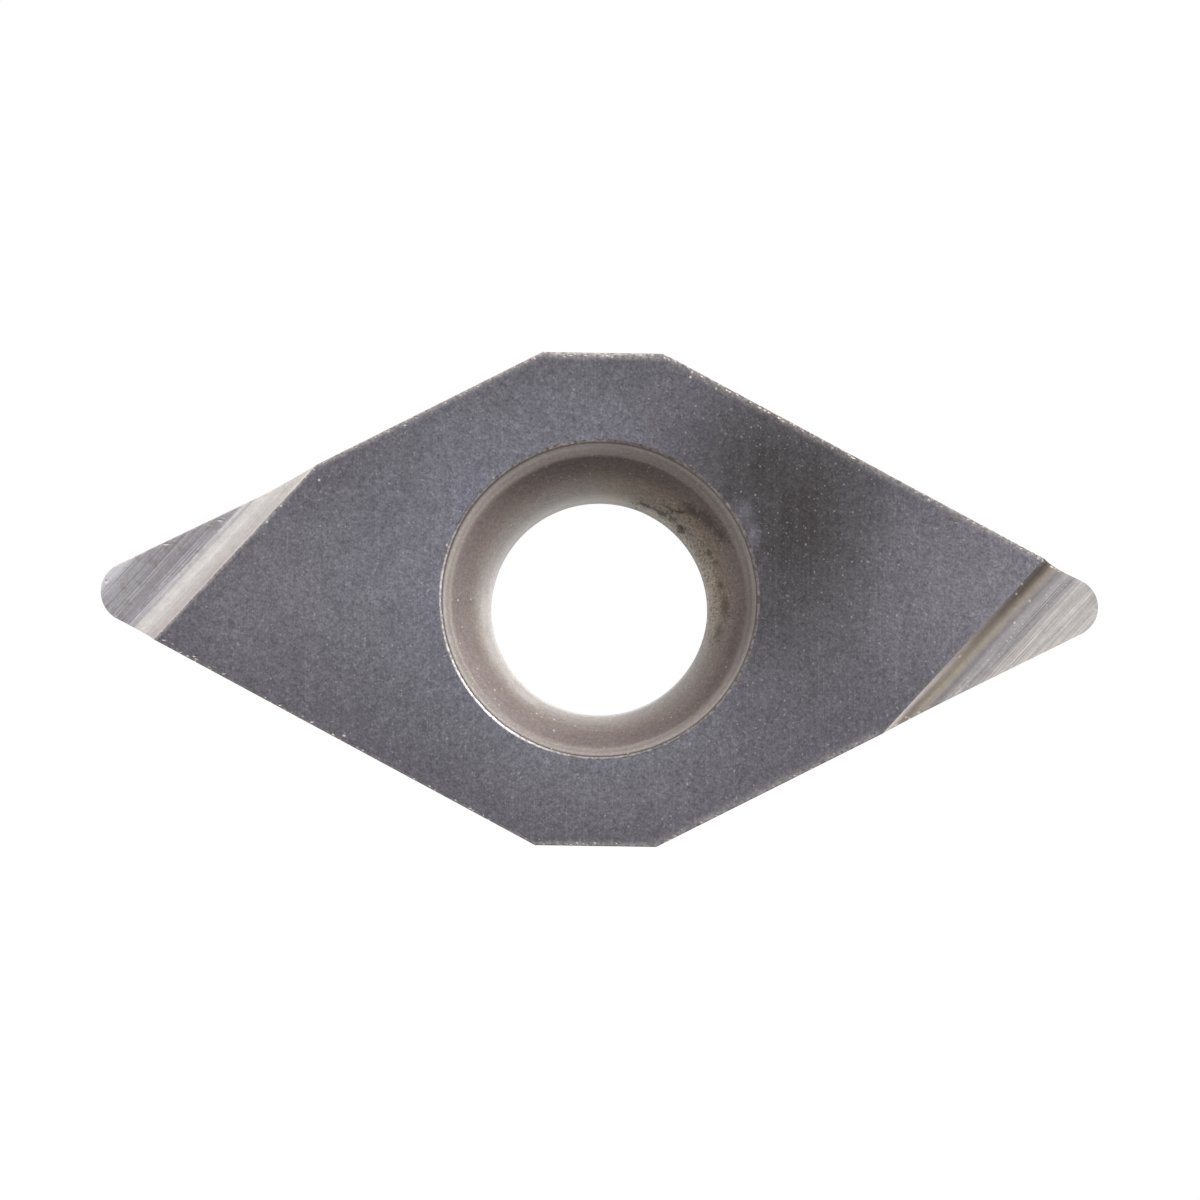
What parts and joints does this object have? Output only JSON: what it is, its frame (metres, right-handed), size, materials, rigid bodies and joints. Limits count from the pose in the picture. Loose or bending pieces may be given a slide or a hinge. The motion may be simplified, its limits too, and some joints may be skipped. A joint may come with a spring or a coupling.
{
  "type": "carbide insert",
  "caption": "Rhombic 55 degree turning insert of cemented carbide with a countersunk screw hole and a slanted ground chip breaker across each rounded nose.",
  "frame": {"origin": "on the screw hole's axis, in the flat seating face that lies in the toolholder's pocket", "axes": "+Z out of the hole's countersunk mouth, +X along the long diagonal from nose to nose, +Y across the two ground-off corners"},
  "size_m": [0.0128, 0.0064, 0.0024],
  "materials": {
    "carbide": "ground cemented carbide, dull on the top face and bright in the chip breakers"
  },
  "bodies": {
    "root": {"insert": "carbide"}
  },
  "joints": []
}
